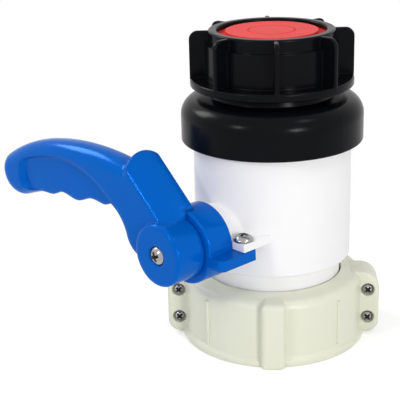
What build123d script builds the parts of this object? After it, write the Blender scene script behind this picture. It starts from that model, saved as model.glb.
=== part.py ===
"""Butterfly drain valve of an intermediate bulk container, as its separate pieces.

Millimetres. +Z runs along the pipe from the tank to the outlet, the origin is the centre of the
coupling nut's open end, the stem points along -Y and the closed lever's grip points along -X.
"""

import os
from math import cos, radians, sin, sqrt

from build123d import *

os.makedirs("parts", exist_ok=True)

# Fits and gaps
running_fit = 0.05
seat_gap = 0.3
axial_gap = 0.4
screw_play = 0.4

# Pipe and white body
bore_radius = 25.0
inner_tube_wall = 5.5
core_width = 6.5
core_depth = 38.0
outer_tube_wall = 4.0
spigot_length = 12.0
barrel_step = 1.7
barrel_length = 68.5
barrel_edge_round = 1.2
neck_step = 5.4
neck_band = 9.7
flange_rim = 4.5
flange_thickness = 7.0

# Coupling nut in two halves
nut_turn = 43.0
nut_top_wall = 5.6
nut_wall = 6.9
nut_edge_round = 5.0
nut_thread_play = 0.2
nut_thread_length = 22.4
nut_pocket_play = 0.8
nut_top_drop = 2.2
nut_neck_play = 0.8
nut_lip_reach = 1.9
nut_lip_height = 3.4
nut_lip_round = 1.2
nut_rib_width = 12.9
nut_rib_reach = 4.9
nut_rib_round = 3.0
nut_rib_foot_round = 1.5
nut_rib_drop = 1.0
thin_rib_width = 1.6
thin_rib_reach = 1.1
thin_rib_round = 0.5
thin_rib_base = 6.5
thin_rib_drop = 6.5
thin_rib_angle = 45.0
ear_reach = 9.7
ear_thickness = 19.0
ear_base = 1.0
ear_drop = 1.0
ear_top_round = 10.0
ear_foot_round = 7.0
ear_edge_round = 2.0
ear_screw_inset = 6.4
ear_screw_low = 10.4
ear_screw_drop = 11.5

# Ear screws and their nuts
ear_screw_radius = 2.0
ear_head_radius = 3.1
ear_head_play = 0.7
ear_head_height = 2.6
ear_head_rim = 0.9
ear_head_sink = 2.2
hex_nut_radius = 3.9
hex_nut_thickness = 3.0
hex_nut_sink = 0.6

# Gaskets and seals
inlet_gasket_thickness = 3.0
inlet_gasket_width = 11.0
adapter_seal_thickness = 1.5
cap_gasket_thickness = 2.5

# Black outlet adapter
collar_wall = 6.0
collar_height = 24.0
collar_cover = 3.2
collar_shoulder_round = 10.0
collar_foot_round = 1.0
nozzle_wall = 3.0
nozzle_length = 25.0
nozzle_base_reach = 1.5
nozzle_base_height = 4.4
nozzle_base_taper = 1.3
outlet_thread_depth = 2.0

# Cap: screw ring and red plate
cap_gap = 5.4
cap_height = 29.6
cap_wall = 4.8
cap_rim_step = 1.8
cap_rim_wall = 4.6
cap_rim_height = 7.0
cap_edge_round = 1.0
cap_flange_reach = 8.2
cap_flange_thickness = 4.3
wing_count = 8
wing_thickness = 2.4
wing_corner_round = 4.7
wing_drop = 0.4
wing_edge_round = 0.6
wing_turn = 1.5
plate_flange_thickness = 4.6
plate_boss_gap = 4.5
plate_top_drop = 0.8
plate_wall = 3.0
plate_groove_radius = 12.0
plate_groove_width = 0.9
plate_groove_depth = 0.6

# Stem and what runs on it
stem_rise = 20.8
stem_radius = 7.0
stem_square_relief = 0.1
journal_step = 0.1
journal_length = 9.0
boss_radius = 17.0
boss_length = 8.7
bush_radius = 10.5
bush_length = 8.5
collar_thickness = 3.0
washer_thickness = 1.2
o_ring_section = 2.4
o_ring_squeeze = 0.6
o_ring_pitch = 4.2

# Butterfly disc
disc_clearance = 0.15
disc_thickness = 7.0
disc_hub_wall = 1.5
disc_rib_height = 4.0
disc_rib_width = 3.0
seal_depth = 2.3
seal_width = 3.0
pin_radius = 1.5
pin_spacing = 24.0

# Lock ring with its tab, lug and lock screw
ring_rim = 3.2
ring_thickness = 15.8
ring_edge_round = 1.2
tab_lap = 0.1
tab_drop = 0.9
tab_thickness = 5.9
tab_overlap = 8.1
tab_corner_round = 3.0
lug_height = 4.4
lug_edge_round = 0.8
lug_land = 5.2
lock_screw_gap = 6.3
lock_screw_inset = 4.6
lock_screw_radius = 2.0
lock_hole_play = 0.8
lock_head_radius = 5.2
lock_head_height = 3.5
lock_head_rim = 1.0
lock_screw_length = 8.8

# Lever
hub_radius = 16.6
hub_depth = 17.8
hub_edge_round = 1.4
hub_front_wall = 4.0
handle_head_radius = 4.85
handle_head_height = 3.2
handle_head_rim = 0.8
handle_head_sink = 1.4
handle_washer_thickness = 0.8
handle_screw_radius = 2.5
handle_screw_length = 16.0
arm_overhang = 6.2
arm_setback = 4.0
arm_slope = 42.7
arm_offset = 17.8
arm_heel = 4.0
arm_corner_out = 20.7
arm_crest_drop = 7.0
arm_crown = 1.6
arm_end_bulge = 7.0
arm_edge_round = 1.5
grip_thickness = 18.0
grip_edge_round = 8.0
grip_recess_depth = 3.0
grip_recess_draft = 30.0
finger_edge_round = 1.5

# Radii from the bore outwards
spigot_radius = bore_radius + inner_tube_wall + core_width + outer_tube_wall
barrel_radius = spigot_radius + barrel_step
neck_radius = barrel_radius - neck_step
flange_radius = neck_radius + flange_rim
nut_thread_radius = flange_radius + nut_thread_play
nut_pocket_radius = flange_radius + nut_pocket_play
nut_radius = nut_pocket_radius + nut_wall
nut_lip_radius = nut_radius + nut_lip_reach
ear_end = nut_radius + ear_reach
ear_screw_offset = ear_end - ear_screw_inset
collar_radius = barrel_radius + seat_gap + collar_wall
nozzle_radius = bore_radius + nozzle_wall
outlet_thread_radius = nozzle_radius + outlet_thread_depth
nozzle_base_radius = outlet_thread_radius + nozzle_base_reach
cap_bore = outlet_thread_radius + 2 * seat_gap
cap_wall_radius = cap_bore + cap_wall
cap_rim_radius = cap_wall_radius - cap_rim_step
cap_mouth_radius = cap_rim_radius - cap_rim_wall
cap_flange_radius = cap_wall_radius + cap_flange_reach
plate_boss_radius = cap_mouth_radius - plate_boss_gap
disc_radius = bore_radius - disc_clearance

# Heights along the pipe
gasket_bottom = nut_thread_length
flange_bottom = gasket_bottom + inlet_gasket_thickness
flange_top = flange_bottom + flange_thickness
nut_height = flange_top + axial_gap + nut_top_wall
ear_top = nut_height - ear_drop
ear_screw_high = nut_height - ear_screw_drop
barrel_bottom = nut_height + neck_band
barrel_top = barrel_bottom + barrel_length
spigot_top = barrel_top + spigot_length
adapter_bottom = barrel_top - collar_cover
adapter_seat = spigot_top + adapter_seal_thickness
collar_top = adapter_bottom + collar_height
nozzle_top = collar_top + nozzle_length
cap_bottom = collar_top + cap_gap
cap_top = cap_bottom + cap_height
plate_bottom = nozzle_top + cap_gasket_thickness
plate_shoulder = plate_bottom + plate_flange_thickness
stem_height = barrel_bottom + stem_rise

# Sections and radii about the stem
stem_square = stem_radius * sqrt(2) - stem_square_relief
journal_radius = stem_square / 2 - journal_step
disc_hub_radius = stem_radius + disc_hub_wall
ring_radius = boss_radius + ring_rim
lock_screw_out = boss_radius + lock_screw_gap
lug_reach = lock_screw_out + lug_land
tab_reach = lug_reach + tab_lap

# Distances along the stem, from the pipe's axis
boss_face = barrel_radius + boss_length
tab_back = boss_face - tab_overlap
lock_screw_along = boss_face - lock_screw_inset
ring_back = boss_face + axial_gap
ring_front = ring_back + ring_thickness
hub_back = ring_front + axial_gap
hub_front = hub_back + hub_depth
arm_back = hub_back - arm_overhang
arm_front = hub_front - arm_setback
grip_back = arm_front - grip_thickness
head_seat = hub_front - handle_head_sink
stem_end = hub_front - hub_front_wall - axial_gap
bush_back = boss_face - bush_length
collar_front = bush_back - washer_thickness - running_fit
collar_back = collar_front - collar_thickness
counterbore_floor = collar_back - running_fit
journal_end = bore_radius + journal_length
square_end = disc_radius - seal_depth

# Heights above the stem's axis
tab_top = -tab_drop
lug_bottom = tab_top + seat_gap
lug_top = lug_bottom + lug_height


def stem_plane(distance):
    """Plane across the stem: local x is +X, local y is +Z, and its normal runs out along -Y."""
    return Plane(origin=(0, -distance, stem_height), x_dir=(1, 0, 0), z_dir=(0, -1, 0))


def upright_plane(turn):
    """Vertical plane through the pipe's axis, with local x outwards at this angle from +X."""
    outwards = (cos(radians(turn)), sin(radians(turn)), 0)
    across = (sin(radians(turn)), -cos(radians(turn)), 0)
    return Plane(origin=(0, 0, 0), x_dir=outwards, z_dir=across)


# White body: barrel, neck and flange, with the stem's boss and the lock lug
with BuildPart() as valve_body:
    with BuildSketch(Plane.XZ):
        with BuildLine():
            Polyline(
                (0, flange_bottom),
                (flange_radius, flange_bottom),
                (flange_radius, flange_top),
                (neck_radius, flange_top),
                (neck_radius, barrel_bottom),
                (barrel_radius, barrel_bottom),
                (barrel_radius, barrel_top),
                (spigot_radius, barrel_top),
                (spigot_radius, spigot_top),
                (0, spigot_top),
                close=True,
            )
        make_face()
    revolve(axis=Axis.Z)
    barrel_rims = valve_body.edges().filter_by(GeomType.CIRCLE)
    fillet(
        barrel_rims.filter_by(lambda rim: abs(rim.radius - barrel_radius) < 0.01).sort_by(Axis.Z)[0],
        radius=barrel_edge_round,
    )
    with BuildSketch(stem_plane(0)):
        Circle(boss_radius)
    extrude(amount=boss_face)
    with BuildSketch(stem_plane(0)):
        with Locations((0, lug_bottom)):
            Rectangle(lug_reach, lug_height, align=(Align.MIN, Align.MIN))
    extrude(amount=boss_face)
    lug_corner = valve_body.edges().filter_by(Axis.Z).filter_by(
        lambda edge: abs(edge.center().X - lug_reach) < 0.01 and abs(edge.center().Y + boss_face) < 0.01
    )
    fillet(lug_corner, radius=lug_edge_round)
    # Flow bore and the cored pocket under the adapter
    with BuildSketch(Plane.XY.offset(flange_bottom)):
        Circle(bore_radius)
    extrude(amount=spigot_top - flange_bottom, mode=Mode.SUBTRACT)
    with BuildSketch(Plane.XY.offset(spigot_top)):
        Circle(spigot_radius - outer_tube_wall)
        Circle(bore_radius + inner_tube_wall, mode=Mode.SUBTRACT)
    extrude(amount=-core_depth, mode=Mode.SUBTRACT)
    # Stem bore, bush seat and the far journal's blind hole
    with BuildSketch(stem_plane(0)):
        Circle(stem_radius + running_fit)
    extrude(amount=boss_face, mode=Mode.SUBTRACT)
    with BuildSketch(stem_plane(counterbore_floor)):
        Circle(bush_radius)
    extrude(amount=boss_face - counterbore_floor, mode=Mode.SUBTRACT)
    with BuildSketch(stem_plane(0)):
        Circle(journal_radius + running_fit)
    extrude(amount=-(journal_end + axial_gap), mode=Mode.SUBTRACT)
    # Lock screw's hole through the lug
    with BuildSketch(Plane.XY.offset(stem_height + lug_bottom)):
        with Locations((lock_screw_out, -lock_screw_along)):
            Circle(lock_screw_radius + running_fit)
    extrude(amount=lug_height, mode=Mode.SUBTRACT)

# Black outlet adapter: skirt over the body's spigot and the outlet nozzle
with BuildPart() as outlet_adapter:
    with BuildSketch(Plane.XZ):
        with BuildLine():
            Polyline(
                (barrel_radius + seat_gap, adapter_bottom),
                (collar_radius, adapter_bottom),
                (collar_radius, collar_top),
                (nozzle_base_radius + nozzle_base_taper, collar_top),
                (nozzle_base_radius, collar_top + nozzle_base_height),
                (nozzle_radius, collar_top + nozzle_base_height),
                (nozzle_radius, nozzle_top),
                (bore_radius, nozzle_top),
                (bore_radius, adapter_seat),
                (spigot_radius + seat_gap, adapter_seat),
                (spigot_radius + seat_gap, barrel_top + seat_gap),
                (barrel_radius + seat_gap, barrel_top + seat_gap),
                close=True,
            )
        make_face()
    revolve(axis=Axis.Z)
    collar_rims = outlet_adapter.edges().filter_by(GeomType.CIRCLE)
    collar_rims = collar_rims.filter_by(lambda rim: abs(rim.radius - collar_radius) < 0.01).sort_by(Axis.Z)
    fillet(collar_rims[-1], radius=collar_shoulder_round)
    fillet(
        outlet_adapter.edges()
        .filter_by(GeomType.CIRCLE)
        .filter_by(lambda rim: abs(rim.radius - collar_radius) < 0.01)
        .sort_by(Axis.Z)[0],
        radius=collar_foot_round,
    )

with BuildPart() as adapter_seal:
    with BuildSketch(Plane.XY.offset(spigot_top)):
        Circle(bore_radius + inner_tube_wall)
        Circle(bore_radius, mode=Mode.SUBTRACT)
    extrude(amount=adapter_seal_thickness)

with BuildPart() as inlet_gasket:
    with BuildSketch(Plane.XY.offset(gasket_bottom)):
        Circle(bore_radius + inlet_gasket_width)
        Circle(bore_radius, mode=Mode.SUBTRACT)
    extrude(amount=inlet_gasket_thickness)

# One wing of the cap, on its flange
with BuildPart() as wing:
    wing_root = cap_rim_radius - wing_thickness / 2
    with BuildSketch(Plane.XZ) as wing_face:
        with BuildLine():
            Polyline(
                (wing_root, cap_bottom + cap_edge_round),
                (cap_flange_radius, cap_bottom + cap_edge_round),
                (cap_flange_radius, cap_top - wing_drop),
                (wing_root, cap_top - wing_drop),
                close=True,
            )
        make_face()
        fillet(wing_face.vertices().sort_by(Axis.X)[-2:].sort_by(Axis.Y)[-1], radius=wing_corner_round)
    extrude(amount=wing_thickness / 2, both=True)
    sides = wing.faces().filter_by(Axis.Y)
    fillet(
        sides.edges().filter_by(lambda edge: edge.center().Z > cap_bottom + cap_flange_thickness),
        radius=wing_edge_round,
    )

# Cap's screw ring: flange, stepped wall, inner lip and radial wings
with BuildPart() as cap_ring:
    lip_bottom = plate_shoulder + seat_gap
    with BuildSketch(Plane.XZ):
        with BuildLine():
            Polyline(
                (cap_bore, cap_bottom),
                (cap_flange_radius, cap_bottom),
                (cap_flange_radius, cap_bottom + cap_flange_thickness),
                (cap_wall_radius, cap_bottom + cap_flange_thickness),
                (cap_wall_radius, cap_top - cap_rim_height),
                (cap_rim_radius, cap_top - cap_rim_height),
                (cap_rim_radius, cap_top),
                (cap_mouth_radius, cap_top),
                (cap_mouth_radius, lip_bottom),
                (cap_bore, lip_bottom),
                close=True,
            )
        make_face()
    revolve(axis=Axis.Z)
    cap_rims = cap_ring.edges().filter_by(GeomType.CIRCLE).filter_by(
        lambda rim: abs(rim.center().Z - cap_top) < 0.01
    )
    fillet(cap_rims, radius=cap_edge_round)
    flange_rims = cap_ring.edges().filter_by(GeomType.CIRCLE).filter_by(
        lambda rim: abs(rim.radius - cap_flange_radius) < 0.01
    )
    fillet(flange_rims, radius=cap_edge_round)
    with PolarLocations(0, wing_count, start_angle=wing_turn):
        add(wing.part)

# Red plate: flange under the ring's lip, hollow boss with a turned groove on top
with BuildPart() as cap_plate:
    plate_flange_radius = outlet_thread_radius + seat_gap
    plate_top = cap_top - plate_top_drop
    with BuildSketch(Plane.XZ):
        with BuildLine():
            Polyline(
                (plate_boss_radius - plate_wall, plate_bottom),
                (plate_flange_radius, plate_bottom),
                (plate_flange_radius, plate_shoulder),
                (plate_boss_radius, plate_shoulder),
                (plate_boss_radius, plate_top),
                (plate_groove_radius + plate_groove_width, plate_top),
                (plate_groove_radius + plate_groove_width / 2, plate_top - plate_groove_depth),
                (plate_groove_radius, plate_top),
                (0, plate_top),
                (0, plate_top - plate_wall),
                (plate_boss_radius - plate_wall, plate_top - plate_wall),
                close=True,
            )
        make_face()
    revolve(axis=Axis.Z)

with BuildPart() as cap_gasket:
    with BuildSketch(Plane.XY.offset(nozzle_top)):
        Circle(outlet_thread_radius)
        Circle(bore_radius, mode=Mode.SUBTRACT)
    extrude(amount=cap_gasket_thickness)

# Stem: square through the disc, round through the seals, collar, square under lock ring and lever
groove_outer = counterbore_floor - o_ring_section
with BuildPart() as stem:
    with BuildSketch(stem_plane(-journal_end)):
        Circle(journal_radius)
    extrude(amount=journal_end - square_end)
    with BuildSketch(stem_plane(-square_end)):
        Rectangle(stem_square, stem_square)
    extrude(amount=square_end + bore_radius)
    with BuildSketch(stem_plane(bore_radius)):
        Circle(stem_radius)
    extrude(amount=ring_back - bore_radius)
    with BuildSketch(stem_plane(collar_back)):
        Circle(bush_radius - seat_gap)
    extrude(amount=collar_thickness)
    with BuildSketch(stem_plane(ring_back)):
        Rectangle(stem_square, stem_square)
    extrude(amount=stem_end - ring_back)
    for ring in range(2):
        with BuildSketch(stem_plane(groove_outer - ring * o_ring_pitch)):
            Circle(stem_radius)
            Circle(stem_radius - o_ring_section + o_ring_squeeze, mode=Mode.SUBTRACT)
        extrude(amount=-o_ring_section, mode=Mode.SUBTRACT)
    with BuildSketch(stem_plane(stem_end)):
        Circle(handle_screw_radius + running_fit)
    extrude(amount=-(handle_screw_length + axial_gap - (head_seat - stem_end)), mode=Mode.SUBTRACT)
    for side in (-1, 1):
        with BuildSketch(Plane.XY.offset(stem_height)):
            with Locations((0, side * pin_spacing / 2)):
                Circle(pin_radius + running_fit)
        extrude(amount=stem_square, both=True, mode=Mode.SUBTRACT)

with BuildPart() as stem_o_rings:
    for ring in range(2):
        with BuildSketch(stem_plane(groove_outer - ring * o_ring_pitch - running_fit)):
            Circle(stem_radius)
            Circle(stem_radius - o_ring_section + o_ring_squeeze + running_fit, mode=Mode.SUBTRACT)
        extrude(amount=-(o_ring_section - 2 * running_fit))

with BuildPart() as thrust_washer:
    with BuildSketch(stem_plane(collar_front)):
        Circle(bush_radius - running_fit)
        Circle(stem_radius + running_fit, mode=Mode.SUBTRACT)
    extrude(amount=washer_thickness)

with BuildPart() as stem_bush:
    with BuildSketch(stem_plane(bush_back)):
        Circle(bush_radius - running_fit)
        Circle(stem_radius + running_fit, mode=Mode.SUBTRACT)
    extrude(amount=bush_length)

# Butterfly disc: ribbed plate and hub, all inside the sphere that turns in the bore
disc_centre = (0, 0, stem_height)
hub_axis = Plane(origin=disc_centre, x_dir=(1, 0, 0), z_dir=(0, -1, 0))
with BuildPart() as butterfly_disc:
    with BuildSketch(Plane.XY.offset(stem_height)):
        Circle(disc_radius)
    extrude(amount=disc_thickness / 2, both=True)
    with BuildSketch(hub_axis):
        Circle(disc_hub_radius)
    extrude(amount=disc_radius, both=True)
    with BuildSketch(Plane.XY.offset(stem_height)):
        Rectangle(2 * disc_radius, disc_rib_width)
    extrude(amount=disc_thickness / 2 + disc_rib_height, both=True)
    with Locations(disc_centre):
        Sphere(disc_radius - running_fit, mode=Mode.INTERSECT)
    # Seat of the seal: rim groove and an eyelet round the stem at each end of the hub
    with BuildSketch(Plane.XY.offset(stem_height)):
        Circle(bore_radius)
        Circle(disc_radius - seal_depth, mode=Mode.SUBTRACT)
    extrude(amount=seal_width / 2, both=True, mode=Mode.SUBTRACT)
    for side in (-1, 1):
        with BuildSketch(stem_plane(side * (disc_radius - seal_depth))):
            Circle(disc_hub_radius)
        extrude(amount=side * seal_depth, mode=Mode.SUBTRACT)
    with BuildSketch(hub_axis):
        Rectangle(stem_square + 2 * running_fit, stem_square + 2 * running_fit)
    extrude(amount=disc_radius, both=True, mode=Mode.SUBTRACT)
    for side in (-1, 1):
        with BuildSketch(Plane.XY.offset(stem_height)):
            with Locations((0, side * pin_spacing / 2)):
                Circle(pin_radius + running_fit)
        extrude(amount=disc_hub_radius, both=True, mode=Mode.SUBTRACT)

with BuildPart() as disc_seal:
    with BuildSketch(Plane.XY.offset(stem_height)):
        Circle(disc_radius)
        Circle(disc_radius - seal_depth + running_fit, mode=Mode.SUBTRACT)
    extrude(amount=seal_width / 2 - running_fit, both=True)
    for side in (-1, 1):
        with BuildSketch(stem_plane(side * (disc_radius - seal_depth + running_fit))):
            Circle(disc_hub_radius - running_fit)
        extrude(amount=side * seal_depth)
    with Locations(disc_centre):
        Sphere(disc_radius, mode=Mode.INTERSECT)
    with BuildSketch(hub_axis):
        Circle(stem_square / sqrt(2) + running_fit)
    extrude(amount=bore_radius, both=True, mode=Mode.SUBTRACT)

with BuildPart() as disc_pins:
    for side in (-1, 1):
        with BuildSketch(Plane.XY.offset(stem_height)):
            with Locations((0, side * pin_spacing / 2)):
                Circle(pin_radius)
        extrude(amount=disc_hub_radius - running_fit - seat_gap, both=True)

# Lock ring: thick ring on the stem's square, with the tab that reaches under the body's lug
with BuildPart() as lock_ring:
    with BuildSketch(stem_plane(ring_back)):
        Circle(ring_radius)
    extrude(amount=ring_thickness)
    fillet(lock_ring.edges().filter_by(GeomType.CIRCLE).sort_by(Axis.Y)[0], radius=ring_edge_round)
    with BuildSketch(Plane.XY.offset(stem_height + tab_top)) as tab_face:
        with BuildLine():
            Polyline(
                (0, -ring_back),
                (boss_radius + axial_gap, -ring_back),
                (boss_radius + axial_gap, -tab_back),
                (tab_reach, -tab_back),
                (tab_reach, -ring_front),
                (0, -ring_front),
                close=True,
            )
        make_face()
        fillet(tab_face.vertices().group_by(Axis.Y)[0].sort_by(Axis.X)[-1], radius=tab_corner_round)
    extrude(amount=-tab_thickness)
    with BuildSketch(stem_plane(ring_back)):
        Rectangle(stem_square + 2 * running_fit, stem_square + 2 * running_fit)
    extrude(amount=ring_thickness, mode=Mode.SUBTRACT)
    with BuildSketch(Plane.XY.offset(stem_height + tab_top)):
        with Locations((lock_screw_out, -lock_screw_along)):
            Circle(lock_screw_radius + lock_hole_play)
    extrude(amount=-tab_thickness, mode=Mode.SUBTRACT)

# Lever grip: rounded rim with a hooked end, a recessed web on each side and finger scallops below
with BuildPart() as grip:
    with BuildSketch(stem_plane(grip_back)):
        with BuildLine():
            top = ThreePointArc((-22, 39.1), (-65, 43.5), (-100.6, 39.8))
            shoulder = TangentArc(top @ 1, (-139, 25), tangent=top % 1)
            nose = TangentArc(shoulder @ 1, (-144.5, 13), tangent=shoulder % 1)
            hook = TangentArc(nose @ 1, (-125, 1.8), tangent=nose % 1)
            hook_tip = TangentArc(hook @ 1, (-104.5, 8.3), tangent=hook % 1)
            Polyline(hook_tip @ 1, (-100, 7), (-22, 7), top @ 0)
        make_face()
    extrude(amount=grip_thickness)
    fillet(grip.edges().filter_by(GeomType.CIRCLE), radius=grip_edge_round)
    for recess_floor, outwards in ((arm_front - grip_recess_depth, 1), (grip_back + grip_recess_depth, -1)):
        with BuildSketch(stem_plane(recess_floor)):
            with BuildLine():
                roof = ThreePointArc((-40, 16), (-60, 28.2), (-93, 31.5))
                roof_end = TangentArc(roof @ 1, (-115, 26.3), tangent=roof % 1)
                back_wall = TangentArc(roof_end @ 1, (-122, 14), tangent=roof_end % 1)
                floor_end = TangentArc(back_wall @ 1, (-112, 8.6), tangent=back_wall % 1)
                Polyline(floor_end @ 1, (-104.5, 8.8), (-104.5, -5), (-40, -5), roof @ 0)
            make_face()
        extrude(amount=outwards * grip_recess_depth, taper=-grip_recess_draft, mode=Mode.SUBTRACT)
    with BuildSketch(stem_plane(grip_back)):
        with BuildLine():
            fingers = Spline(
                (-104.5, 8.3),
                (-97, 8.8),
                (-89, 11.8),
                (-74, 10.4),
                (-62, 14.2),
                (-52, 13.6),
                (-40, 17.5),
                tangents=[(1, 0.1), (1, 0.4)],
            )
            Polyline(fingers @ 1, (-28, 18), (-28, -5), (-104.5, -5), fingers @ 0)
        make_face()
    extrude(amount=grip_thickness, mode=Mode.SUBTRACT)
    finger_edges = grip.edges().filter_by(GeomType.BSPLINE).sort_by(SortBy.LENGTH)[-2:]
    fillet(finger_edges, radius=finger_edge_round)

# Lever arm: slanted block with a crowned upper face that falls towards the front
upper_normal = (sin(radians(arm_slope)), cos(radians(arm_slope)))
heel_top = (arm_offset - arm_heel * upper_normal[0]) / upper_normal[1]
arm_corner = (-arm_corner_out, (arm_offset + arm_corner_out * upper_normal[0]) / upper_normal[1])
arm_tip = (arm_corner[0] - arm_end_bulge * upper_normal[1], arm_corner[1] + arm_end_bulge * upper_normal[0])
arm_width = arm_front - arm_back
with BuildPart() as arm:
    with BuildSketch(stem_plane(arm_back)):
        with BuildLine():
            underside = ThreePointArc((-40, 17.8), (-32.5, 12), (-27.5, 2.3))
            instep = ThreePointArc(underside @ 1, (-23.5, -3.4), (-14.5, -6.5))
            Polyline(
                instep @ 1,
                (0, 0),
                (arm_heel, 0),
                (arm_heel, heel_top),
                arm_tip,
                (-42, 31),
                underside @ 0,
            )
        make_face()
    extrude(amount=arm_width)
    along_arm = (-upper_normal[1], 0, upper_normal[0])
    with BuildSketch(Plane(origin=(0, -arm_back, stem_height), x_dir=(0, -1, 0), z_dir=along_arm)):
        with BuildLine():
            crest = ThreePointArc(
                (0, arm_offset),
                (arm_width / 2, arm_offset - arm_crest_drop / 2 + arm_crown),
                (arm_width, arm_offset - arm_crest_drop),
            )
            Polyline(crest @ 1, (arm_width, 2 * arm_offset), (0, 2 * arm_offset), crest @ 0)
        make_face()
    extrude(amount=2 * arm_corner[1], both=True, mode=Mode.SUBTRACT)
    # Upper end, an arch across the arm
    arch_origin = (arm_corner[0], -arm_back, stem_height + arm_corner[1])
    upwards = (upper_normal[0], 0, upper_normal[1])
    with BuildSketch(Plane(origin=arch_origin, x_dir=(0, -1, 0), z_dir=upwards)):
        with BuildLine():
            arch = ThreePointArc((0, 0), (arm_width / 2, -arm_end_bulge), (arm_width, 0))
            Polyline(arch @ 1, (arm_width, -4 * arm_end_bulge), (0, -4 * arm_end_bulge), arch @ 0)
        make_face()
    extrude(amount=2 * arm_offset, both=True, mode=Mode.SUBTRACT)
    crest_edges = arm.edges().filter_by(Axis((0, 0, 0), along_arm))
    fillet(crest_edges, radius=arm_edge_round)
    # Room for the lock ring behind the hub
    with BuildSketch(stem_plane(arm_back)):
        Circle(ring_radius + axial_gap)
    extrude(amount=arm_overhang, mode=Mode.SUBTRACT)

with BuildPart() as handle:
    with BuildSketch(stem_plane(hub_back)):
        Circle(hub_radius)
    extrude(amount=hub_depth)
    fillet(handle.edges().filter_by(GeomType.CIRCLE).sort_by(Axis.Y)[0], radius=hub_edge_round)
    add(arm.part)
    add(grip.part)
    with BuildSketch(stem_plane(hub_back)):
        Rectangle(stem_square + 2 * running_fit, stem_square + 2 * running_fit)
    extrude(amount=hub_depth - hub_front_wall, mode=Mode.SUBTRACT)
    with BuildSketch(stem_plane(head_seat - handle_washer_thickness)):
        Circle(handle_head_radius + screw_play)
    extrude(amount=handle_head_sink + handle_washer_thickness, mode=Mode.SUBTRACT)
    with BuildSketch(stem_plane(hub_back)):
        Circle(handle_screw_radius + screw_play)
    extrude(amount=hub_depth, mode=Mode.SUBTRACT)

with BuildPart() as handle_washer:
    with BuildSketch(stem_plane(head_seat - handle_washer_thickness)):
        Circle(handle_head_radius)
        Circle(handle_screw_radius + running_fit, mode=Mode.SUBTRACT)
    extrude(amount=handle_washer_thickness)


def pan_head_screw(section, head_radius, head_height, rim, shank_radius, shank_length):
    """Screw turned about the section's local y, with the head's seat at the section's origin."""
    with BuildPart() as screw:
        with BuildSketch(section):
            with BuildLine():
                dome = TangentArc((0, head_height), (head_radius, rim), tangent=(1, 0))
                Polyline(
                    dome @ 1,
                    (head_radius, 0),
                    (shank_radius, 0),
                    (shank_radius, -shank_length),
                    (0, -shank_length),
                    dome @ 0,
                )
            make_face()
        revolve(axis=Axis(section.origin, section.y_dir))
    return screw


handle_screw = pan_head_screw(
    Plane(origin=(0, -head_seat, stem_height), x_dir=(1, 0, 0), z_dir=(0, 0, -1)),
    handle_head_radius,
    handle_head_height,
    handle_head_rim,
    handle_screw_radius,
    handle_screw_length,
)
lock_seat = (lock_screw_out, -lock_screw_along, stem_height + lug_top)
lock_screw = pan_head_screw(
    Plane(origin=lock_seat, x_dir=(1, 0, 0), z_dir=(0, -1, 0)),
    lock_head_radius,
    lock_head_height,
    lock_head_rim,
    lock_screw_radius,
    lock_screw_length,
)

# Coupling nut: two halves that meet at the plane of the ears
ears_out = Vector(cos(radians(nut_turn)), sin(radians(nut_turn)), 0)
ears_front = Vector(sin(radians(nut_turn)), -cos(radians(nut_turn)), 0)
ear_face = ear_thickness / 2
ear_head_seat = ear_face - ear_head_sink
hex_front = hex_nut_sink + hex_nut_thickness - ear_face
ear_screw_places = [
    (side * ear_screw_offset, height) for side in (-1, 1) for height in (ear_screw_low, ear_screw_high)
]


def ear_plane(offset, height, distance):
    """Plane across an ear screw, with its normal towards the nut's front."""
    origin = ears_out * offset + ears_front * distance + Vector(0, 0, height)
    return Plane(origin=origin, x_dir=ears_out, z_dir=ears_front)


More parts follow.
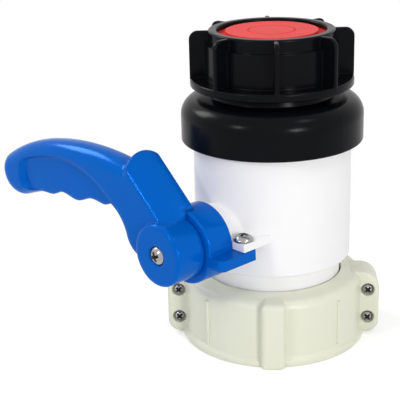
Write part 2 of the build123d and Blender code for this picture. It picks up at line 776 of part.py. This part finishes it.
def nut_half(turn):
    """Half of the nut that runs from this angle half way round, with its ribs and both its ears."""
    neck_hole = neck_radius + nut_neck_play
    lip_bottom = flange_top + axial_gap
    ear_root = nut_pocket_radius + nut_lip_round
    outwards = Axis((0, 0, 0), (cos(radians(turn + 90)), sin(radians(turn + 90)), 0))
    with BuildPart() as ears:
        for side in (-1, 1):
            with BuildSketch(upright_plane(turn)) as ear:
                with Locations((side * (ear_root + ear_end) / 2, (ear_base + ear_top) / 2)):
                    Rectangle(ear_end - ear_root, ear_top - ear_base)
                foot, crown = ear.vertices().sort_by(lambda corner: side * corner.X)[-2:].sort_by(Axis.Y)
                fillet(crown, radius=ear_top_round)
                foot = ear.vertices().sort_by(lambda corner: corner.Y - side * corner.X)[0]
                fillet(foot, radius=ear_foot_round)
            extrude(amount=-ear_face)
        fillet(ears.faces().group_by(outwards)[-1].edges(), radius=ear_edge_round)
    with BuildPart() as rib:
        with BuildSketch(Plane.XY.rotated((0, 0, turn + 90))) as rib_face:
            with Locations((ear_root, 0)):
                rib_depth = nut_radius + nut_rib_reach - ear_root
                Rectangle(rib_depth, nut_rib_width, align=(Align.MIN, Align.CENTER))
            fillet(rib_face.vertices().sort_by(Axis.X)[-2:], radius=nut_rib_round)
        extrude(amount=nut_height - nut_rib_drop)
        fillet(rib.faces().sort_by(Axis.Z)[-1].edges().sort_by(outwards)[1:], radius=nut_rib_round)
        fillet(rib.faces().sort_by(Axis.Z)[0].edges().sort_by(outwards)[1:], radius=nut_rib_foot_round)
    with BuildPart() as half:
        with BuildSketch(upright_plane(turn)):
            with BuildLine():
                Polyline(
                    (nut_thread_radius, 0),
                    (nut_lip_radius, 0),
                    (nut_lip_radius, nut_lip_height),
                    (nut_radius, nut_lip_height + nut_lip_radius - nut_radius),
                    (nut_radius, nut_height - nut_top_drop),
                    (neck_hole, nut_height),
                    (neck_hole, lip_bottom),
                    (nut_pocket_radius, lip_bottom),
                    (nut_pocket_radius, nut_thread_length),
                    (nut_thread_radius, nut_thread_length),
                    close=True,
                )
            make_face()
        revolve(axis=Axis.Z, revolution_arc=180)
        shoulder = half.edges().filter_by(GeomType.CIRCLE).filter_by(
            lambda rim: abs(rim.radius - nut_radius) < 0.01
        )
        fillet(shoulder.sort_by(Axis.Z)[-1], radius=nut_edge_round)
        lip_rims = half.edges().filter_by(GeomType.CIRCLE).filter_by(
            lambda rim: abs(rim.radius - nut_lip_radius) < 0.01
        )
        fillet(lip_rims, radius=nut_lip_round)
        # Thin ribs on the wall
        for side in (-1, 1):
            rib_turn = turn + 90 + side * thin_rib_angle
            with BuildSketch(Plane.XY.offset(thin_rib_base).rotated((0, 0, rib_turn))) as thin_rib:
                with Locations((nut_radius, 0)):
                    Rectangle(2 * thin_rib_reach, thin_rib_width)
                fillet(thin_rib.vertices().sort_by(Axis.X)[-2:], radius=thin_rib_round)
            extrude(amount=nut_height - thin_rib_drop - thin_rib_base)
        add(rib.part)
        add(ears.part)
    return half


with BuildPart() as nut_half_front:
    add(nut_half(nut_turn + 180).part)
    for offset, height in ear_screw_places:
        with BuildSketch(ear_plane(offset, height, 0)):
            Circle(ear_screw_radius + screw_play)
        extrude(amount=ear_face, mode=Mode.SUBTRACT)
        with BuildSketch(ear_plane(offset, height, ear_head_seat)):
            Circle(ear_head_radius + ear_head_play)
        extrude(amount=ear_head_sink, mode=Mode.SUBTRACT)

with BuildPart() as nut_half_back:
    add(nut_half(nut_turn).part)
    for offset, height in ear_screw_places:
        with BuildSketch(ear_plane(offset, height, 0)):
            Circle(ear_screw_radius + screw_play)
        extrude(amount=-ear_face, mode=Mode.SUBTRACT)
        with BuildSketch(ear_plane(offset, height, hex_front)):
            RegularPolygon(hex_nut_radius + running_fit, 6)
        extrude(amount=-(hex_nut_thickness + hex_nut_sink), mode=Mode.SUBTRACT)

with BuildPart() as nut_screws:
    for offset, height in ear_screw_places:
        seat = ear_plane(offset, height, ear_head_seat)
        section = Plane(origin=seat.origin, x_dir=ears_out, z_dir=(0, 0, -1))
        shank = ear_head_seat + ear_face - hex_nut_sink
        add(
            pan_head_screw(
                section, ear_head_radius, ear_head_height, ear_head_rim, ear_screw_radius, shank
            ).part
        )

with BuildPart() as nut_hex_nuts:
    for offset, height in ear_screw_places:
        with BuildSketch(ear_plane(offset, height, hex_front)):
            RegularPolygon(hex_nut_radius, 6)
            Circle(ear_screw_radius + running_fit, mode=Mode.SUBTRACT)
        extrude(amount=-hex_nut_thickness)

pieces = {
    "valve_body": valve_body,
    "outlet_adapter": outlet_adapter,
    "adapter_seal": adapter_seal,
    "inlet_gasket": inlet_gasket,
    "cap_ring": cap_ring,
    "cap_plate": cap_plate,
    "cap_gasket": cap_gasket,
    "stem": stem,
    "stem_o_rings": stem_o_rings,
    "thrust_washer": thrust_washer,
    "stem_bush": stem_bush,
    "butterfly_disc": butterfly_disc,
    "disc_seal": disc_seal,
    "disc_pins": disc_pins,
    "lock_ring": lock_ring,
    "handle": handle,
    "handle_washer": handle_washer,
    "handle_screw": handle_screw,
    "lock_screw": lock_screw,
    "nut_half_front": nut_half_front,
    "nut_half_back": nut_half_back,
    "nut_screws": nut_screws,
    "nut_hex_nuts": nut_hex_nuts,
}
for name, piece in pieces.items():
    piece.part.label = name
    export_step(piece.part, f"parts/{name}.step")
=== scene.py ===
"""Looks of the tank valve: finishes for its solids, screw recesses, threads, camera and light.

Metres, in the part's own frame: +Z along the pipe, the stem towards -Y, the lever's grip towards -X.
"""

from math import cos, pi, radians, sin

import bmesh
import bpy
from mathutils import Matrix, Vector


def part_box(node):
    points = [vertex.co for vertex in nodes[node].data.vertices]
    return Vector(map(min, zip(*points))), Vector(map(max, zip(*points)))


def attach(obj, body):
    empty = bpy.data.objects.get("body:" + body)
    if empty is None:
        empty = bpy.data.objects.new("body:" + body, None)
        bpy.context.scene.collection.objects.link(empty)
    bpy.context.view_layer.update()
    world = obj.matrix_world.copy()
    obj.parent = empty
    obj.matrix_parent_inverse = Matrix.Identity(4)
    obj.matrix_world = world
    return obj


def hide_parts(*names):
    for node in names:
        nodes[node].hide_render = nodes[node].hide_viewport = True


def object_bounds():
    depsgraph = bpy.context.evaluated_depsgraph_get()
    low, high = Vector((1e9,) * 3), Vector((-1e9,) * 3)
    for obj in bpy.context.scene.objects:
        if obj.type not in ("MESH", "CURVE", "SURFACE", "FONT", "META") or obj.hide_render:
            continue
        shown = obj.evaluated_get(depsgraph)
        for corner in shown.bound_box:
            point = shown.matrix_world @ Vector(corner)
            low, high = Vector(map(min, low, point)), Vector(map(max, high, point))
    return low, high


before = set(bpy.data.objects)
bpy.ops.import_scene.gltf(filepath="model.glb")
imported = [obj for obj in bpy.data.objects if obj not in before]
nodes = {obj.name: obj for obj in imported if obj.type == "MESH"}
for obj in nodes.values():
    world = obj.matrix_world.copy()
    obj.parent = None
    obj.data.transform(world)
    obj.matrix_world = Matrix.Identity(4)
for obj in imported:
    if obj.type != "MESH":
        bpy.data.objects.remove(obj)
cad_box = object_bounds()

MM = 0.001
scene = bpy.context.scene

# View, fitted to the photograph
view_azimuth = radians(43.0)
view_distance = 580 * MM
view_height = 280.9 * MM
view_yaw = radians(3.95)
view_pitch = radians(19.33)
view_roll = radians(-1.57)
view_lens = 99.9
sensor_width = 36.0

# Directions seen from the camera's side of the part
to_right = Vector((cos(view_azimuth), sin(view_azimuth), 0))
to_camera = Vector((sin(view_azimuth), -cos(view_azimuth), 0))
up = Vector((0, 0, 1))
part_middle = Vector((0, 0, cad_box[1].z / 2))

# Directions about the nut, whose halves meet at the plane of its ears
nut_turn = radians(43.0)
ears_out = Vector((cos(nut_turn), sin(nut_turn), 0))
ears_front = Vector((sin(nut_turn), -cos(nut_turn), 0))

# Surfaces: the noise's useful span, and the scale and detail of each pattern
noise_span = (0.3, 0.7)
cloud_scale, cloud_detail = 60, 3
gloss_scale, gloss_detail = 140, 4
grain_detail = 2
edge_samples = 8
lever_edge = 3.0 * MM
ring_edge = 0.8 * MM
sharp_angle = radians(35)

# Ridges of the threads: foot and tip are half widths as shares of the pitch, run_out is in turns
thread_steps = 96
thread_sink = 0.3 * MM
thread_foot_share = 0.3
thread_tip_share = 0.1
run_out = 0.2
blunt_end = 0.15

# Outlet, cap and nut threads: radii, and starts and ends below the nozzle's end or inside the nut
thread_pitch = 6 * MM
thread_play = 0.3 * MM
outlet_root = 28 * MM
outlet_crest = 30 * MM
outlet_start = 18.6 * MM
cap_root = 30.6 * MM
cap_crest = outlet_root + thread_play
cap_start = 17.4 * MM
nozzle_gap = 2.4 * MM
nut_root = 42 * MM
nut_crest = 40.2 * MM
nut_gap = 2.2 * MM

# Lock screw's head, shank and thread
lock_head_height = 3.5 * MM
lock_shank_radius = 2.0 * MM
lock_shank_margin = 0.1 * MM
lock_pitch = 1.0 * MM
lock_root_share = 0.8

# Cross recesses of the screws: half length, half width and depth, and the turn about the screw
handle_recess = (3.3 * MM, 0.95 * MM, 2.6 * MM)
handle_skew = radians(20)
lock_recess = (3.1 * MM, 0.8 * MM, 2.5 * MM)
lock_skew = radians(25)
ear_recess = (2.5 * MM, 0.8 * MM, 2.0 * MM)
ear_skew = radians(43)
ear_head_radius = 3.1 * MM
recess_taper = 0.5
recess_rise = 0.5 * MM
weld_distance = 0.001 * MM
least_edge = 0.002 * MM

# Light and floor, lengths in metres
fill_level = 0.54
floor_size = 3
floor_shade = 0.8
floor_glow = 0.4
shadow_reach = 0.07
white_reach = 0.2


def noise(tree, scale, detail, low, high):
    """Noise in the part's own coordinates, spread from low to high."""
    place = tree.nodes.new("ShaderNodeTexCoord")
    texture = tree.nodes.new("ShaderNodeTexNoise")
    texture.inputs["Scale"].default_value = scale
    texture.inputs["Detail"].default_value = detail
    tree.links.new(place.outputs["Object"], texture.inputs["Vector"])
    spread = tree.nodes.new("ShaderNodeMapRange")
    spread.inputs["From Min"].default_value = noise_span[0]
    spread.inputs["From Max"].default_value = noise_span[1]
    spread.inputs["To Min"].default_value = low
    spread.inputs["To Max"].default_value = high
    tree.links.new(texture.outputs["Fac"], spread.inputs["Value"])
    return spread.outputs["Result"]


def finish(name, colour, mottle, roughness, grain, specular, tint=(1, 1, 1), metallic=0.0, edge=0.0):
    """A surface with cloudy colour, uneven gloss and a fine grain, given by its scale and depth.

    Where edge is given, edges are shaded as if rounded by that radius.
    """
    material = bpy.data.materials.new(name)
    material.use_nodes = True
    tree = material.node_tree
    shader = tree.nodes["Principled BSDF"]
    shader.inputs["Metallic"].default_value = metallic
    shader.inputs["Specular IOR Level"].default_value = specular
    shader.inputs["Specular Tint"].default_value = (*tint, 1)
    clouds = tree.nodes.new("ShaderNodeValToRGB")
    for stop, share in zip(clouds.color_ramp.elements, (1 - mottle, 1 + mottle)):
        stop.color = (*(min(1.0, channel * share) for channel in colour), 1)
    tree.links.new(noise(tree, cloud_scale, cloud_detail, 0, 1), clouds.inputs["Fac"])
    tree.links.new(clouds.outputs["Color"], shader.inputs["Base Color"])
    tree.links.new(noise(tree, gloss_scale, gloss_detail, *roughness), shader.inputs["Roughness"])
    grain_scale, grain_depth = grain
    bump = tree.nodes.new("ShaderNodeBump")
    bump.inputs["Distance"].default_value = grain_depth
    tree.links.new(noise(tree, grain_scale, grain_detail, 0, 1), bump.inputs["Height"])
    if edge:
        soften = tree.nodes.new("ShaderNodeBevel")
        soften.samples = edge_samples
        soften.inputs["Radius"].default_value = edge
        tree.links.new(soften.outputs["Normal"], bump.inputs["Normal"])
    tree.links.new(bump.outputs["Normal"], shader.inputs["Normal"])
    return material


# Finishes by the record's material slots, and a near-black steel that paints shade into the screws' recesses
white_look = dict(
    colour=(0.9, 0.893, 0.9), mottle=0.006, roughness=(0.4, 0.46), grain=(2500, 0.004 * MM), specular=0.2
)
black_look = dict(
    colour=(0.003, 0.0033, 0.0046), mottle=0.1, roughness=(0.2, 0.26), grain=(3000, 0.003 * MM),
    specular=0.07, edge=0.8 * MM,
)
red_look = dict(
    colour=(0.83, 0.048, 0.046), mottle=0.02, roughness=(0.3, 0.36), grain=(3000, 0.004 * MM), specular=0.02
)
# The small metallic share only tints the plastic's gloss
blue_look = dict(
    colour=(0.0, 0.114, 0.53), mottle=0.015, roughness=(0.13, 0.17), grain=(1800, 0.001 * MM),
    specular=0.06, tint=(0.6, 0.9, 1.0), metallic=0.12,
)
cream_look = dict(
    colour=(0.765, 0.775, 0.635), mottle=0.012, roughness=(0.3, 0.36), grain=(2500, 0.003 * MM),
    specular=0.4, edge=1.2 * MM,
)
steel_look = dict(
    colour=(0.38, 0.375, 0.37), mottle=0.08, roughness=(0.16, 0.24), grain=(4000, 0.003 * MM),
    specular=0.5, metallic=1.0,
)
rubber_look = dict(
    colour=(0.02, 0.02, 0.021), mottle=0.15, roughness=(0.6, 0.75), grain=(2500, 0.01 * MM), specular=0.3
)
stem_look = dict(
    colour=(0.7, 0.7, 0.68), mottle=0.02, roughness=(0.4, 0.5), grain=(2500, 0.006 * MM), specular=0.3
)
# Painted shade: near-black steel for the faces cut by the screws' cross recesses, in place of the shade
# inside them
recess_shade_look = dict(
    colour=(0.02, 0.02, 0.021), mottle=0.1, roughness=(0.4, 0.5), grain=(4000, 0.003 * MM), specular=0.3
)

finishes = {
    "white_body": finish("white_body", **white_look),
    "black_plastic": finish("black_plastic", **black_look),
    "red_plate": finish("red_plate", **red_look),
    "blue_lever": finish("blue_lever", **blue_look, edge=lever_edge),
    "cream_nut": finish("cream_nut", **cream_look),
    "steel": finish("steel", **steel_look),
    "seal_rubber": finish("seal_rubber", **rubber_look),
    "stem_plastic": finish("stem_plastic", **stem_look),
}
# Painted shade for the recesses' faces
recess_shade_steel = finish("recess_shade_steel", **recess_shade_look)

for node in nodes.values():
    for place, old in enumerate(node.data.materials):
        node.data.materials[place] = finishes[old.name]

# The lock ring's edges are sharper than the lever's
nodes["lock_ring"].data.materials[0] = finish("blue_ring", **blue_look, edge=ring_edge)


def new_piece(name, mesh, body, slot):
    """A mesh as a smooth piece with its sharp edges kept, riding on a body."""
    if not mesh.materials:
        mesh.materials.append(finishes[slot])
    mesh.polygons.foreach_set("use_smooth", [True] * len(mesh.polygons))
    mesh.set_sharp_from_angle(angle=sharp_angle)
    piece = bpy.data.objects.new(name, mesh)
    scene.collection.objects.link(piece)
    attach(piece, body)
    return piece


# Threads
def thread(name, body, slot, root, crest, bottom, top, pitch, phase=0.0, centre=Vector((0, 0, 0))):
    """Right-handed ridge from the root radius to the crest radius, running out at both ends."""
    shape = bmesh.new()
    turns = (top - bottom) / pitch
    count = int(turns * thread_steps)
    sunk = root - thread_sink if crest > root else root + thread_sink
    foot = thread_foot_share * pitch
    tip = thread_tip_share * pitch
    rows = []
    for step in range(count + 1):
        turn = turns * step / count
        angle = 2 * pi * turn + phase
        height = bottom + turn * pitch
        fade = min(1.0, blunt_end + min(turn, turns - turn) / run_out)
        edge = sunk + (crest - sunk) * fade
        outwards = Vector((cos(angle), sin(angle), 0))
        section = ((sunk, -foot), (edge, -tip), (edge, tip), (sunk, foot))
        rows.append(
            [shape.verts.new(centre + outwards * radius + up * (height + rise)) for radius, rise in section]
        )
    for near, far in zip(rows, rows[1:]):
        for side in range(len(near)):
            after = (side + 1) % len(near)
            shape.faces.new((near[side], near[after], far[after], far[side]))
    shape.faces.new(rows[0])
    shape.faces.new(rows[-1][::-1])
    bmesh.ops.recalc_face_normals(shape, faces=shape.faces)
    mesh = bpy.data.meshes.new(name)
    shape.to_mesh(mesh)
    shape.free()
    new_piece(name, mesh, body, slot)


# Screws
def reach(node, direction):
    """How far a node goes in this direction."""
    return max(direction.dot(corner.co) for corner in nodes[node].data.vertices)


def cross_cutter(places, axis, side, length, width, depth):
    """Tapered crosses whose tops stand proud of the head's middle at each place."""
    across = axis.cross(side)
    outline = (
        (length, width), (width, width), (width, length),
        (-width, length), (-width, width), (-length, width),
        (-length, -width), (-width, -width), (-width, -length),
        (width, -length), (width, -width), (length, -width),
    )
    shape = bmesh.new()
    for place in places:
        rings = []
        for level, share in ((recess_rise, 1.0), (-depth, recess_taper)):
            rings.append(
                [shape.verts.new(place + axis * level + (side * x + across * y) * share) for x, y in outline]
            )
        upper, lower = rings
        shape.faces.new(upper)
        shape.faces.new(lower[::-1])
        for spot in range(len(outline)):
            after = (spot + 1) % len(outline)
            shape.faces.new((upper[after], upper[spot], lower[spot], lower[after]))
    bmesh.ops.recalc_face_normals(shape, faces=shape.faces)
    # The recess faces take the second slot, the steel with painted shade
    for face in shape.faces:
        face.material_index = 1
    mesh = bpy.data.meshes.new("recess")
    shape.to_mesh(mesh)
    shape.free()
    cutter = bpy.data.objects.new("recess", mesh)
    scene.collection.objects.link(cutter)
    return cutter


def screw(node, body, cutter, shank=None):
    """The node's solid with the cutter's recesses, in place of the plain one.

    A shank, given by its upper end on the axis, its radius and a share, is thinned to that share.
    """
    shape = bmesh.new()
    shape.from_mesh(nodes[node].data)
    bmesh.ops.remove_doubles(shape, verts=shape.verts, dist=weld_distance)
    if shank:
        shank_end, radius, share = shank
        for corner in shape.verts:
            off = (corner.co - shank_end).to_2d()
            if off.length < radius and corner.co.z < shank_end.z:
                corner.co.x = shank_end.x + off.x * share
                corner.co.y = shank_end.y + off.y * share
    mesh = bpy.data.meshes.new(node + "_blank")
    shape.to_mesh(mesh)
    shape.free()
    mesh.materials.append(finishes["steel"])
    # Second slot: the steel with painted shade, for the recess faces
    mesh.materials.append(recess_shade_steel)
    blank = bpy.data.objects.new(node + "_blank", mesh)
    scene.collection.objects.link(blank)
    cut = blank.modifiers.new("recess", "BOOLEAN")
    cut.operation = "DIFFERENCE"
    cut.material_mode = "INDEX"
    cut.object = cutter
    result = bpy.data.meshes.new_from_object(blank.evaluated_get(bpy.context.evaluated_depsgraph_get()))
    bpy.data.objects.remove(blank)
    bpy.data.objects.remove(cutter)
    shape = bmesh.new()
    shape.from_mesh(result)
    bmesh.ops.dissolve_degenerate(shape, edges=shape.edges, dist=least_edge)
    shape.to_mesh(result)
    shape.free()
    result.name = node + "_cross"
    piece = new_piece(node + "_cross", result, body, "steel")
    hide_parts(node)


def turned(one, other, angle):
    """Direction one, turned by the angle towards other."""
    return (one * cos(angle) + other * sin(angle)).normalized()


def make_screws():
    """Cross-recessed heads for the lever's screw, the lock screw and the nut's screws."""
    low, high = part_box("handle_screw")
    head = Vector(((low.x + high.x) / 2, low.y, (low.z + high.z) / 2))
    side = turned(Vector((1, 0, 0)), up, handle_skew)
    screw("handle_screw", "lever", cross_cutter([head], Vector((0, -1, 0)), side, *handle_recess))

    low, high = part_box("lock_screw")
    head = Vector(((low.x + high.x) / 2, (low.y + high.y) / 2, high.z))
    side = turned(to_right, to_camera, lock_skew)
    seat_height = head.z - lock_head_height
    shank_end = Vector((head.x, head.y, seat_height - lock_shank_margin))
    screw(
        "lock_screw",
        "lock_screw",
        cross_cutter([head], up, side, *lock_recess),
        (shank_end, lock_shank_radius + lock_shank_margin, lock_root_share),
    )
    thread(
        "lock_screw_thread", "lock_screw", "steel", lock_shank_radius * lock_root_share, lock_shank_radius,
        low.z + lock_pitch / 2, seat_height - lock_pitch, lock_pitch, centre=Vector((head.x, head.y, 0)),
    )

    top = reach("nut_screws", ears_front)
    offset = reach("nut_screws", ears_out) - ear_head_radius
    low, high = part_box("nut_screws")
    heads = [
        ears_front * top + ears_out * offset * end + up * height
        for end in (-1, 1)
        for height in (low.z + ear_head_radius, high.z - ear_head_radius)
    ]
    side = turned(ears_out, up, ear_skew)
    screw("nut_screws", "nut", cross_cutter(heads, ears_front, side, *ear_recess))


make_screws()

# Outlet's thread on the nozzle and in the cap, half a pitch apart, and the nut's own thread
nozzle_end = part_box("outlet_adapter")[1].z
gasket_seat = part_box("inlet_gasket")[0].z
cap_phase = pi + 2 * pi * (outlet_start - cap_start) / thread_pitch
thread(
    "outlet_thread", "valve", "black_plastic", outlet_root, outlet_crest,
    nozzle_end - outlet_start, nozzle_end - nozzle_gap, thread_pitch,
)
thread(
    "cap_thread", "cap_ring", "black_plastic", cap_root, cap_crest,
    nozzle_end - cap_start, nozzle_end - nozzle_gap, thread_pitch, phase=cap_phase,
)
thread("nut_thread", "nut", "cream_nut", nut_root, nut_crest, nut_gap, gasket_seat - nut_gap, thread_pitch)


# Camera
def make_camera():
    """Camera at the photograph's viewing angle, with no lens shift."""
    data = bpy.data.cameras.new("camera")
    data.sensor_width = sensor_width
    data.lens = view_lens
    camera = bpy.data.objects.new("camera", data)
    scene.collection.objects.link(camera)
    turn = Matrix.Rotation(view_azimuth + view_yaw, 4, "Z") @ Matrix.Rotation(pi / 2 - view_pitch, 4, "X")
    camera.matrix_world = (
        Matrix.Translation(to_camera * view_distance + up * view_height)
        @ turn
        @ Matrix.Rotation(view_roll, 4, "Z")
    )
    scene.camera = camera


make_camera()


# Lamps
def softbox(name, bearing, climb, distance, size, level):
    """Square lamp aimed at the part, placed by degrees to the camera's right and above the floor.

    Level is how bright it makes a white card that faces it.
    """
    data = bpy.data.lights.new(name, "AREA")
    data.size = size
    lamp = bpy.data.objects.new(name, data)
    scene.collection.objects.link(lamp)
    level_way = to_camera * cos(radians(bearing)) + to_right * sin(radians(bearing))
    way = level_way * cos(radians(climb)) + up * sin(radians(climb))
    lamp.location = part_middle + way * distance
    data.energy = level * (pi * distance) ** 2
    lamp.rotation_euler = way.to_track_quat("Z", "Y").to_euler()


softbox("front", bearing=30, climb=14, distance=1.2, size=0.2, level=0.34)
softbox("key", bearing=-44, climb=27, distance=1.2, size=0.16, level=0.16)
softbox("left", bearing=-115, climb=36, distance=1.2, size=0.4, level=0.38)
softbox("upper_right", bearing=58, climb=56, distance=1.0, size=0.12, level=0.07)


def seen_directly(tree):
    """One where a camera, glossy or transmitted ray looks, and nought for scattered light."""
    path = tree.nodes.new("ShaderNodeLightPath")
    total = path.outputs["Is Camera Ray"]
    for ray in ("Is Glossy Ray", "Is Transmission Ray"):
        either = tree.nodes.new("ShaderNodeMath")
        either.operation = "MAXIMUM"
        tree.links.new(total, either.inputs[0])
        tree.links.new(path.outputs[ray], either.inputs[1])
        total = either.outputs["Value"]
    return total


def times(tree, one, other):
    """Product of two node values."""
    product = tree.nodes.new("ShaderNodeMath")
    product.operation = "MULTIPLY"
    for place, value in enumerate((one, other)):
        if isinstance(value, float):
            product.inputs[place].default_value = value
        else:
            tree.links.new(value, product.inputs[place])
    return product.outputs["Value"]


def make_world():
    """Even fill light, white where it is looked at."""
    world = bpy.data.worlds.new("studio")
    scene.world = world
    world.use_nodes = True
    tree = world.node_tree
    fill = tree.nodes["Background"]
    fill.inputs["Color"].default_value = (1, 1, 1, 1)
    fill.inputs["Strength"].default_value = fill_level
    white = tree.nodes.new("ShaderNodeBackground")
    white.inputs["Color"].default_value = (1, 1, 1, 1)
    white.inputs["Strength"].default_value = 1
    pick = tree.nodes.new("ShaderNodeMixShader")
    tree.links.new(seen_directly(tree), pick.inputs["Fac"])
    tree.links.new(fill.outputs["Background"], pick.inputs[1])
    tree.links.new(white.outputs["Background"], pick.inputs[2])
    tree.links.new(pick.outputs["Shader"], tree.nodes["World Output"].inputs["Surface"])


def make_floor():
    """White floor that keeps the part's shadow and is plain white further out."""
    shape = bmesh.new()
    bmesh.ops.create_grid(shape, x_segments=1, y_segments=1, size=floor_size)
    mesh = bpy.data.meshes.new("floor")
    shape.to_mesh(mesh)
    shape.free()
    floor = bpy.data.objects.new("floor", mesh)
    floor.location.z = cad_box[0].z
    scene.collection.objects.link(floor)
    material = bpy.data.materials.new("floor")
    material.use_nodes = True
    tree = material.node_tree
    shader = tree.nodes["Principled BSDF"]
    shader.inputs["Base Color"].default_value = (floor_shade, floor_shade, floor_shade, 1)
    shader.inputs["Roughness"].default_value = 1
    shader.inputs["Specular IOR Level"].default_value = 0
    shader.inputs["Emission Color"].default_value = (1, 1, 1, 1)
    seen = seen_directly(tree)
    tree.links.new(times(tree, seen, floor_glow), shader.inputs["Emission Strength"])
    place = tree.nodes.new("ShaderNodeTexCoord")
    away = tree.nodes.new("ShaderNodeVectorMath")
    away.operation = "LENGTH"
    tree.links.new(place.outputs["Object"], away.inputs[0])
    spread = tree.nodes.new("ShaderNodeMapRange")
    spread.interpolation_type = "SMOOTHSTEP"
    spread.inputs["From Min"].default_value = shadow_reach
    spread.inputs["From Max"].default_value = white_reach
    tree.links.new(away.outputs["Value"], spread.inputs["Value"])
    white = tree.nodes.new("ShaderNodeEmission")
    white.inputs["Color"].default_value = (1, 1, 1, 1)
    white.inputs["Strength"].default_value = 1
    pick = tree.nodes.new("ShaderNodeMixShader")
    tree.links.new(times(tree, seen, spread.outputs["Result"]), pick.inputs["Fac"])
    tree.links.new(shader.outputs["BSDF"], pick.inputs[1])
    tree.links.new(white.outputs["Emission"], pick.inputs[2])
    tree.links.new(pick.outputs["Shader"], tree.nodes["Material Output"].inputs["Surface"])
    mesh.materials.append(material)


make_world()
make_floor()
scene.view_settings.view_transform = "Standard"
